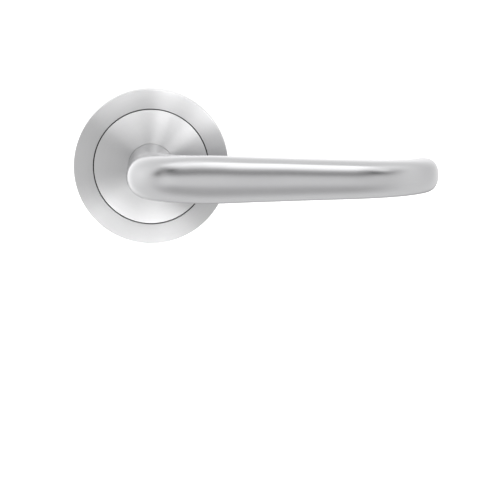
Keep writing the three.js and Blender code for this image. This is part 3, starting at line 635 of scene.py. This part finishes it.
def crook():
    """The inner line of the elbow: a hollow quarter superellipse from the side of the neck to the back of the grip."""
    def back(s):
        t, thick, (x, y) = rad(lever_angle(s)), grip_thick(s / LEVER_L), centre(s)
        return x + math.sin(t) * thick, y + math.cos(t) * thick
    (x0, y0), (x1, y1) = back(ROOT_L), back(ROOT_L + 1.0)
    slope, across = (y1 - y0) / (x1 - x0), x0 - NECK_R
    return x0, slope, across, BEND_START + slope * across, BEND_START + slope * across - y0


CROOK = crook()


def inner_half_thick(s):
    if s >= ROOT_L:
        return half_thick(s)
    x0, slope, across, top, drop = CROOK
    t, (x, y) = rad(lever_angle(s)), centre(s)

    def outside(d):
        px, py = x + math.sin(t) * d, y + math.cos(t) * d
        a, b = max(0.0, (x0 - px) / across), max(0.0, (top + slope * (px - x0) - py) / drop)
        return a**CROOK_POWER + b**CROOK_POWER > 1

    low, high = 0.0, 25.0
    for _ in range(40):
        mid = (low + high) / 2
        low, high = (mid, high) if outside(mid) else (low, mid)
    return low


def eased_half_thick(s):
    """The outer half thickness with the join between the arc and the grip eased."""
    reach = EASE * min(1.0, max(0.0, (s - EASE_FROM) / 8.0), max(0.0, (ROOT_L + 14.0 - s) / 14.0))
    if reach <= 0:
        return half_thick(s)
    offs = np.linspace(-reach, reach, 25)
    pull = np.exp(-2 * (offs / reach) ** 2)
    return float(sum(w * half_thick(s + d) for w, d in zip(pull, offs)) / pull.sum())


SECTION = 144


def section(x, y, deg, thick, height, exponent, inner=None):
    t = rad(deg)
    nx, ny = -math.sin(t), -math.cos(t)
    ring_points = []
    for j in range(SECTION):
        u = TAU * j / SECTION
        c = math.copysign(abs(math.cos(u)) ** (2 / exponent), math.cos(u))
        d = math.copysign(abs(math.sin(u)) ** (2 / exponent), math.sin(u))
        reach = thick if c > 0 or inner is None else inner
        ring_points.append((x + nx * reach * c, y + ny * reach * c, height * d))
    return ring_points


def lever_rings():
    rings = []
    back = [(TAIL_END, 6.9), (TAIL_END - 0.12, 7.35), (TAIL_END - 0.6, JOURNAL_R), (14.35, JOURNAL_R), (14.3, 7.95), (14.3, 7.2), (14.25, 7.15),
            (12.85, 7.15), (12.8, 7.2), (12.8, 7.95), (12.75, JOURNAL_R), (6.0, JOURNAL_R), (0.0, JOURNAL_R), (SHOULDER_Y + 0.2, JOURNAL_R),
            (SHOULDER_Y, JOURNAL_R + 0.2), (SHOULDER_Y, NECK_R - 0.4), (SHOULDER_Y - 0.12, NECK_R - 0.12), (SHOULDER_Y - 0.4, NECK_R)]
    for y, r in back:
        rings.append(section(0, y, 90, r, r, 2))
    for y in np.linspace(-7.0, BEND_START, 26):
        rings.append(section(0, float(y), 90, NECK_R, NECK_R, 2))
    stations = list(np.linspace(0, ROOT_L, 121)[1:]) + list(np.linspace(ROOT_L, ROOT_L + RUN_L, 50)[1:])
    stations += list(np.linspace(ROOT_L + RUN_L, LEVER_L - CAP_L, 75)[1:])
    stations += [LEVER_L - CAP_L + CAP_L * math.sin(math.pi / 2 * k / 22) for k in range(1, 22)]
    for s in stations:
        x, y = centre(s)
        f = s / LEVER_L
        q = max(0.0, (s - (LEVER_L - CAP_L)) / CAP_L)
        cap = math.sqrt(1 - q**CAP_POWER)
        rings.append(section(x, y, lever_angle(s), eased_half_thick(s) * cap, half_height(f) * cap, roundness(f), inner_half_thick(s) * cap))
    return rings


lever = loft("lever_grip", lever_rings())
boolean(lever, [
    block(JOURNAL_FLAT, 12, 0.3, 20, -12, 12), block(-12, -JOURNAL_FLAT, 0.3, 20, -12, 12),
    block(-SOCKET_HALF, SOCKET_HALF, SOCKET_BOTTOM, 20, -SOCKET_HALF, SOCKET_HALF)])
grub_hole = [[(3.3 * math.cos(TAU * j / 64), -13.2 + 3.3 * math.sin(TAU * j / 64), z) for j in range(64)] for z in (-14.0, -3.0)]
boolean(lever, [loft("tool", grub_hole)])


def add_flow(ob):
    """Arc length along the grip and place round its section, for the grain."""
    co = np.array([v.co for v in ob.data.vertices], float) / MM
    line = np.c_[np.concatenate([np.zeros(400), _cx]), np.concatenate([np.linspace(20, BEND_START, 400, endpoint=False), _cy])]
    arc = np.concatenate([np.linspace(BEND_START - 20, 0, 400, endpoint=False), _s])
    best = np.zeros(len(co), int)
    for i in range(0, len(co), 2000):
        d = ((co[i:i + 2000, None, :2] - line[None, ::4, :]) ** 2).sum(2)
        best[i:i + 2000] = d.argmin(1) * 4
    t = np.gradient(line, axis=0)
    t /= np.linalg.norm(t, axis=1)[:, None]
    off = co[:, :2] - line[best]
    across = off[:, 0] * t[best, 1] - off[:, 1] * t[best, 0]
    size = np.maximum(np.hypot(across, co[:, 2]), 1e-6)
    flow = np.c_[arc[best] * MM * 10, across / size, co[:, 2] / size].astype(np.float32)
    layer = ob.data.attributes.new("flow", "FLOAT_VECTOR", "POINT")
    layer.data.foreach_set("vector", flow.ravel())


add_flow(lever)
place(lever, "lever_assembly", "lever", M_LEVER, 30)

# ------------------------------------------------------------------ spindle


def square_ring(y, h, corner):
    pts = []
    for cx, cz, a0 in ((h - corner, h - corner, 0), (-h + corner, h - corner, 90), (-h + corner, -h + corner, 180), (h - corner, -h + corner, 270)):
        for k in range(6):
            a = rad(a0 + 90 * k / 5)
            pts.append((cx + corner * math.cos(a), y, cz + corner * math.sin(a)))
    return pts


spindle = loft("square_spindle", [square_ring(y, h, c) for y, h, c in (
    (-21.4, 3.25, 0.3), (-20.7, 3.95, 0.5), (15.6, 3.95, 0.5), (15.7, 4.0, 0.5), (58.8, 4.0, 0.5), (59.7, 3.1, 0.4), (60.0, 2.7, 0.3))])
place(spindle, "lever_assembly", "spindle", M_PLATED, 30)

# --------------------------------------------------- screws with real threads


def threaded(name, sections, n=40):
    """Rings along +Y. Each section is (y, radius) or (y0, y1, radius, pitch, depth) for a thread."""
    rings = []

    def ring_at(y, radii):
        rings.append([(radii[j] * math.cos(TAU * j / n), y, radii[j] * math.sin(TAU * j / n)) for j in range(n)])

    for sec in sections:
        if len(sec) == 2:
            ring_at(sec[0], [sec[1]] * n)
            continue
        y0, y1, r, pitch, depth = sec
        steps = max(8, int((y1 - y0) / pitch * 8))
        for k in range(steps + 1):
            y = y0 + (y1 - y0) * k / steps
            ease = min(1.0, (y - y0) / pitch, (y1 - y) / pitch)
            radii = []
            for j in range(n):
                f = (y / pitch - j / n) % 1.0
                tri = abs(2 * f - 1)
                radii.append(r - depth * min(1.0, max(0.0, (1 - tri) * 1.25 - 0.1)) * max(0.0, ease))
            ring_at(y, radii)
    return loft(name, rings)


def bolt(name, x, node):
    under = -3.9
    ob = threaded(name, [
        (under - 1.4, 3.15), (under - 1.36, 3.35), (under - 1.2, 3.52), (under - 1.0, 3.6), (under - 0.12, 3.6), (under, 3.48), (under, 2.1), (under + 0.1, 2.0),
        (18.0, 2.0), (18.2, 45.4, 2.0, 0.7, 0.38), (45.6, 1.75), (46.1, 1.4)])
    boolean(ob, [prism(6, 2.5, under - 2.0, under - 0.1)])
    ob.data.transform(Matrix.Translation((x * MM, 0, 0)))
    place(ob, "mounting", node, M_PLATED, 35)


bolt("bolt_left", -FIX_X, "fixing_bolt_left")
bolt("bolt_right", FIX_X, "fixing_bolt_right")


def lock_washer(name, x, node):
    rings, n, y = [], 72, -3.2
    for i in range(n + 1):
        a = rad(6 + 348 * i / n)
        w = y + 0.16 * (i / n - 0.5)
        outline = rounded([(2.3, w - 0.31, 0.08), (3.5, w - 0.31, 0.08), (3.5, w + 0.31, 0.08), (2.3, w + 0.31, 0.08)], 2)
        rings.append([(x + r * math.cos(a), q, r * math.sin(a)) for r, q in outline])
    place(loft(name, rings), "mounting", node, M_BLACK, 35)


lock_washer("lock_washer_l", -FIX_X, "lock_washer_left")
lock_washer("lock_washer_r", FIX_X, "lock_washer_right")


def housing_screw(name, deg, node):
    under = -2.8
    ob = threaded(name, [(under - 1.5, 0.9), (under - 1.47, 1.4), (under - 1.3, 1.9), (under - 1.0, 2.3), (under - 0.6, 2.48), (under - 0.08, 2.5), (under, 2.42),
                         (under, 1.3), (-1.0, 1.25), (-0.8, 5.3, 1.25, 0.45, 0.22), (5.5, 1.1), (6.0, 0.7)], 32)
    tools = []
    for k in (0, 1):
        w, d = (1.35, 0.32) if k == 0 else (0.32, 1.35)
        rings = [[(sx * w * q, y, sz * d * q) for sx, sz in ((-1, -1), (1, -1), (1, 1), (-1, 1))] for y, q in ((under - 2.0, 1.0), (under - 0.5, 0.55))]
        tools.append(loft("tool", rings))
    boolean(ob, tools)
    ob.data.transform(Matrix.Translation((EAR_R * math.cos(rad(deg)) * MM, 0, EAR_R * math.sin(rad(deg)) * MM)))
    place(ob, "mounting", node, M_PLATED, 35)


for tag, deg in zip(("top", "left", "right"), EAR_AT):
    housing_screw(f"pan_screw_{tag}", deg, f"housing_screw_{tag}")


def grub():
    z0, z1 = -9.1, -4.3
    ob = threaded("grub_m6", [(z0, 2.45), (z0 + 0.1, 2.62), (z0 + 0.4, z1 - 0.9, 3.0, 1.0, 0.5), (z1 - 0.7, 2.5), (z1 - 0.05, 2.0), (z1, 1.9), (z1, 1.3), (z1 - 0.5, 0.4)], 48)
    boolean(ob, [prism(6, 3.0, z0 - 1, z0 + 2.4)])
    ob.data.transform(Matrix.Translation((0, -13.2 * MM, 0)) @ Matrix.Rotation(math.pi / 2, 4, "X"))
    place(ob, "lever_assembly", "grub_screw", M_BLACK, 35)


grub()

# ------------------------------------------------------ plate and mechanism


def sector(r0, r1, y0, y1, d0, d1, steps=24):
    pts = [(r1 * math.cos(rad(d0 + (d1 - d0) * i / steps)), r1 * math.sin(rad(d0 + (d1 - d0) * i / steps))) for i in range(steps + 1)]
    pts += [(r0 * math.cos(rad(d1 + (d0 - d1) * i / steps)), r0 * math.sin(rad(d1 + (d0 - d1) * i / steps))) for i in range(steps + 1)]
    return loft("tool", [[(a, y, b) for a, b in pts] for y in (y0, y1)])


plate = revolve("plate_casting", rounded([
    (9.72, -0.3, 0.1), (26.8, -0.3, 0.1), (26.8, 0.0, 0.1), (30.2, 0.0, 0.15), (30.2, -0.9, 0.2), (27.9, -0.9, 0.1), (27.9, -2.5, 0.3), (27.4, -2.5, 0.0),
    (27.4, -3.1, 0.08), (26.7, -3.1, 0.08), (26.7, -4.7, 0.08), (27.4, -4.7, 0.08), (27.1, -5.3, 0.2), (25.4, -5.3, 0.25), (25.4, -2.5, 0.3),
    (13.0, -2.5, 0.25), (13.0, -3.1, 0.15), (9.72, -3.1, 0.12)], 4), 192)
for sx in (1, -1):
    spigot = revolve("tool", rounded([(0.0, -1.0), (3.9, -1.0, 0.0), (3.9, 8.0, 0.35), (0.0, 8.0)], 4), 64)
    spigot.data.transform(Matrix.Translation((sx * FIX_X * MM, 0, 0)))
    boolean(plate, [spigot], "UNION")
boolean(plate, [cylinder(2.35, -5, 9, sx * FIX_X, 0) for sx in (1, -1)])
boolean(plate, [cylinder(1.55, -5, 2, EAR_R * math.cos(rad(d)), EAR_R * math.sin(rad(d)), 40) for d in EAR_AT])
place(plate, "mounting", "mounting_plate", M_ZINC, 32, True)

housing = revolve("housing_casting", rounded([
    (13.55, 0.0, 0.1), (14.7, 0.0, 0.1), (14.7, 10.7, 0.8), (9.75, 10.7, 0.15), (9.75, 9.5, 0.1), (13.55, 9.5, 0.4)], 5), 160)
for d in EAR_AT:
    t = rad(d)
    outline = [(14.0, -2.9)] + [(EAR_R + 2.9 * math.cos(rad(a)), 2.9 * math.sin(rad(a))) for a in range(-90, 91, 10)] + [(14.0, 2.9)]
    turned_out = [(a * math.cos(t) - b * math.sin(t), a * math.sin(t) + b * math.cos(t)) for a, b in outline]
    boolean(housing, [plate_of("tool", turned_out, 0.0, 4.3, 0.2)], "UNION")
boolean(housing, [
    sector(11.6, 14.2, 0.3, 2.2, CAM_AT + CAM_HALF + PLAY, CAM_AT + CAM_HALF + PLAY + 22),
    sector(11.6, 14.2, 0.3, 2.2, CAM_AT - CAM_HALF - TRAVEL - PLAY - 22, CAM_AT - CAM_HALF - TRAVEL - PLAY)], "UNION")
boolean(housing, [cylinder(1.55, -1, 6, EAR_R * math.cos(rad(d)), EAR_R * math.sin(rad(d)), 40) for d in EAR_AT])
boolean(housing, [cylinder(1.2, 8, 12, -SPRING_R, 0, 32)])
place(housing, "mounting", "spring_housing", M_ZINC, 32, True)

front_bush = revolve("flanged_bush_front", rounded([
    (8.1, -4.2, 0.15), (12.4, -4.2, 0.12), (12.4, -3.4, 0.12), (9.4, -3.4, 0.15), (9.4, 0.3, 0.2), (8.1, 0.3, 0.12)], 4), 128)
place(front_bush, "mounting", "front_bearing_bush", M_BRONZE)
rear_bush = revolve("flanged_bush_rear", rounded([
    (8.1, 8.9, 0.12), (9.4, 8.9, 0.2), (9.4, 11.0, 0.15), (11.6, 11.0, 0.12), (11.6, 11.8, 0.12), (8.1, 11.8, 0.15)], 4), 128)
place(rear_bush, "mounting", "rear_bearing_bush", M_BRONZE)
thrust = revolve("acetal_thrust_washer", rounded([(8.3, -5.3, 0.12), (12.0, -5.3, 0.12), (12.0, -4.5, 0.12), (8.3, -4.5, 0.12)], 3), 128)
place(thrust, "mounting", "thrust_washer", M_ACETAL_WHITE)

driver = revolve("cam_sinter", rounded([(0.0, 0.6), (11.2, 0.6, 0.15), (11.2, 2.2, 0.15), (10.4, 2.2, 0.2), (10.4, 8.6, 0.3), (0.0, 8.6)], 4), 128)
boolean(driver, [sector(8, 13.1, 0.6, 2.2, CAM_AT - CAM_HALF, CAM_AT + CAM_HALF)], "UNION")
bore = cylinder(8.3, -1, 10, n=128)
boolean(bore, [block(7.3, 12, -2, 11, -12, 12), block(-12, -7.3, -2, 11, -12, 12)])
boolean(driver, [bore, cylinder(1.2, -1, 3, 0, SPRING_R, 32)])
place(driver, "lever_assembly", "driver_cam", M_SINTER, 32, True)

# wave washer and circlip on the lever's tail
rings = []
for i in range(160):
    a = TAU * i / 160
    w = 12.45 + 0.18 * math.sin(3 * a)
    rings.append([(r * math.cos(a), q, r * math.sin(a)) for r, q in rounded([(8.35, w - 0.14, 0.05), (11.0, w - 0.14, 0.05), (11.0, w + 0.14, 0.05), (8.35, w + 0.14, 0.05)], 2)])
place(loft("wave_spring_washer", rings, True), "lever_assembly", "wave_washer", M_STRIP, 35)


def circlip():
    a0, a1, steps = -90 + 14, 270 - 14, 120
    outer, inner = [], []
    for i in range(steps + 1):
        d = a0 + (a1 - a0) * i / steps
        t = rad(d)
        w = 1.6 + 0.8 * max(0.0, math.cos(t - math.pi / 2) * 0.5 + 0.5)
        near = min(i, steps - i) / 7.0
        lug = 1.4 * (0.5 + 0.5 * math.cos(math.pi * min(1.0, max(0.0, near - 0.6)))) if near < 1.6 else 0.0
        outer.append(((7.46 + w + lug) * math.cos(t), (7.46 + w + lug) * math.sin(t)))
        inner.append((7.46 * math.cos(t), 7.46 * math.sin(t)))
    ob = plate_of("circlip_ring", outer + inner[::-1], 13.1, 14.0, 0.07)
    boolean(ob, [cylinder(0.6, 12.5, 14.5, 9.1 * math.cos(rad(d)), 9.1 * math.sin(rad(d)), 24) for d in (a0 + 6, a1 - 6)])
    place(ob, "lever_assembly", "retaining_circlip", M_BLACK, 35)


circlip()

# snap ring in the rim's groove
rings = []
for i in range(241):
    a = rad(-90 + 7 + 346 * i / 240)
    rings.append([((27.45 + 0.45 * math.cos(TAU * j / 14)) * math.cos(a), -3.9 + 0.45 * math.sin(TAU * j / 14), (27.45 + 0.45 * math.cos(TAU * j / 14)) * math.sin(a)) for j in range(14)])
place(loft("cover_snap_ring", rings), "mounting", "snap_ring", M_SPRING, 40)


def torsion_spring():
    """The coil, with a leg forward into the cam and a leg back into the housing, in one fixed shape."""
    bend = 1.6
    bend_deg = math.degrees(bend / SPRING_R)
    total = SPRING_TURNS * 360
    start = CAM_AT + total
    pts = []

    def at(deg, y):
        pts.append((SPRING_R * math.cos(rad(deg)), y, SPRING_R * math.sin(rad(deg))))

    y_front, y_rear = SPRING_Y
    for y in (10.5, 10.2, 9.9):
        at(start, y)
    for k in range(1, 9):
        f = k / 9
        at(start - bend_deg * (1 - math.cos(f * math.pi / 2)), y_rear + bend * (1 - math.sin(f * math.pi / 2)))
    turns = total - 2 * bend_deg
    n = 200
    for i in range(n + 1):
        at(start - bend_deg - turns * i / n, y_rear + (y_front - y_rear) * i / n)
    for k in range(8, 0, -1):
        f = k / 9
        at(CAM_AT + bend_deg * (1 - math.cos(f * math.pi / 2)), y_front - bend * (1 - math.sin(f * math.pi / 2)))
    for y in (1.7, 1.2, 0.9):
        at(CAM_AT, y)
    p = np.array(pts)
    t = np.gradient(p, axis=0)
    t /= np.linalg.norm(t, axis=1)[:, None]
    side = np.cross(t[0], (1.0, 0.0, 0.0))
    side /= np.linalg.norm(side)
    rings = []
    for i in range(len(p)):
        side = side - t[i] * (side @ t[i])
        side /= np.linalg.norm(side)
        other = np.cross(t[i], side)
        r = WIRE_R * (0.86 if i in (0, len(p) - 1) else 1.0)
        rings.append([tuple(p[i] + r * (math.cos(TAU * j / 18) * side + math.sin(TAU * j / 18) * other)) for j in range(18)])
    ob = loft("torsion_spring", rings)
    finish_mesh(ob, 40)
    ob.data.materials.append(M_SPRING)
    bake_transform(ob)
    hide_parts("return_spring")


torsion_spring()

# --------------------------------------------------------- floor and studio
floor_me = bpy.data.meshes.new("floor")
N = 96
floor_me.from_pydata([(27 * math.cos(TAU * i / N), 27 * math.sin(TAU * i / N), -1.7) for i in range(N)], [], [tuple(range(N))])
floor = bpy.data.objects.new("floor", floor_me)
SCENE.collection.objects.link(floor)
floor.visible_glossy = floor.visible_shadow = False
g = Graph("pale_floor")
pos, *_ = g.position()
g.set(Base_Color=g.mix(g.noise(pos, 0.8, 2.0, 0.5), (0.92, 0.92, 0.92), (0.94, 0.94, 0.94)), Roughness=0.9)
g.bsdf.inputs["Emission Color"].default_value = (1, 1, 1, 1)
g.bsdf.inputs["Emission Strength"].default_value = 0.4
floor_me.materials.append(g.material)

# Soft panels, and dark screens where the strength is negative, far round the object:
# degrees to the right of the front, degrees up, tightness, strength.
PALE = 0.88
PANELS = (
    (3, 35, 60, 2.1), (27, 33, 52, 1.34), (-168, 4, 7.5, 1.21), (-5, -5, 8.8, 0.83), (156, -7, 8, 0.83),
    (6, 21, 60, 0.82), (-160, -11, 7.6, 0.71), (8, 51, 28, 0.64), (-26, 69, 48, 0.62), (7, 22, 55, 0.59),
    (25, 36, 5.9, 0.35), (160, 35, 8, 0.31), (-92, 12, 6, 0.24), (52, 49, 38, 0.12), (120, 8, 5.4, -0.13),
    (10, 69, 56, -0.63), (-32, 20, 28, -0.75), (15, 34, 54, -0.75), (-3, -18, 5.9, -0.76), (177, -11, 8, -1.91),
    (-7, 34, 59, -1.13), (27, 29, 17, -1.19), (4, 18, 25, -1.59), (10, 60, 80, 0.67), (-30, 45, 45, -0.39),
    (5, 30, 80, -0.34), (10, 20, 80, -0.28), (20, 5, 80, 0.18), (0, 5, 80, 0.14), (-5, -20, 80, -0.13),
    (10, 15, 80, 0.2), (-25, 20, 80, 0.24), (-5, 40, 80, -0.23),
)
# Soft lamps that light the rose alone: degrees to the right of the front, degrees up, half their width in degrees,
# strength on the ring, strength on the disc.
ROSE_LAMPS = (
    (38, 23, 9, 4.4, 4.5), (19, 38, 9, 1.82, 1.87), (10, 40, 9, 3.35, 3.41), (-43, -34, 9, 1.5, 1.7),
    (23, 13, 12, 1.3, 1.54), (15, 19, 12, 2.32, 2.37), (-5, 23, 12, 1.08, 1.42), (-15, 19, 12, 1.87, 2.39),
    (-25, -25, 12, 0.5, 1.3), (-17, -32, 12, 0.95, 1.9), (-6, -36, 12, 1.35, 1.6), (6, -36, 12, 2.05, 3.1),
)


def toward(right, up):
    right, up = math.radians(right), math.radians(up)
    return Vector((math.cos(up) * math.sin(right), -math.cos(up) * math.cos(right), math.sin(up)))


world = bpy.data.worlds.new("studio")
SCENE.world = world
world.use_nodes = True
nt = world.node_tree
background = nt.nodes["Background"]
background.inputs["Color"].default_value = (1, 1, 1, 1)


def world_math(op, *values):
    n = nt.nodes.new("ShaderNodeMath")
    n.operation = op
    for s, v in zip(n.inputs, values):
        if isinstance(v, bpy.types.NodeSocket):
            nt.links.new(v, s)
        else:
            s.default_value = v
    return n.outputs[0]


coords = nt.nodes.new("ShaderNodeTexCoord")
total = PALE
for right, up, tight, strength in PANELS:
    dot = nt.nodes.new("ShaderNodeVectorMath")
    dot.operation = "DOT_PRODUCT"
    nt.links.new(coords.outputs["Generated"], dot.inputs[0])
    dot.inputs[1].default_value = toward(right, up)
    total = world_math("MULTIPLY_ADD", world_math("EXPONENT", world_math("MULTIPLY_ADD", dot.outputs["Value"], tight, -tight)), strength, total)
total = world_math("MAXIMUM", total, 0.0)
seen = nt.nodes.new("ShaderNodeLightPath").outputs["Is Camera Ray"]
blend = nt.nodes.new("ShaderNodeMix")
nt.links.new(seen, blend.inputs[0])
nt.links.new(total, blend.inputs[2])
blend.inputs[3].default_value = 1.0
nt.links.new(blend.outputs[0], background.inputs["Strength"])

for face, which in ((ring, 0), (disc, 1)):
    lit = bpy.data.collections.new(f"{face.name}_lit")
    lit.objects.link(face)
    for n, (right, up, half, *radiance) in enumerate(ROSE_LAMPS):
        lamp = bpy.data.lights.new(f"{face.name}_lamp_{n}", "SUN")
        lamp.angle = math.radians(2 * half)
        lamp.energy = radiance[which] * math.pi * math.sin(math.radians(half)) ** 2
        ob = bpy.data.objects.new(lamp.name, lamp)
        SCENE.collection.objects.link(ob)
        ob.rotation_mode = "QUATERNION"
        ob.rotation_quaternion = toward(right, up).to_track_quat("Z", "Y")
        ob.light_linking.receiver_collection = lit
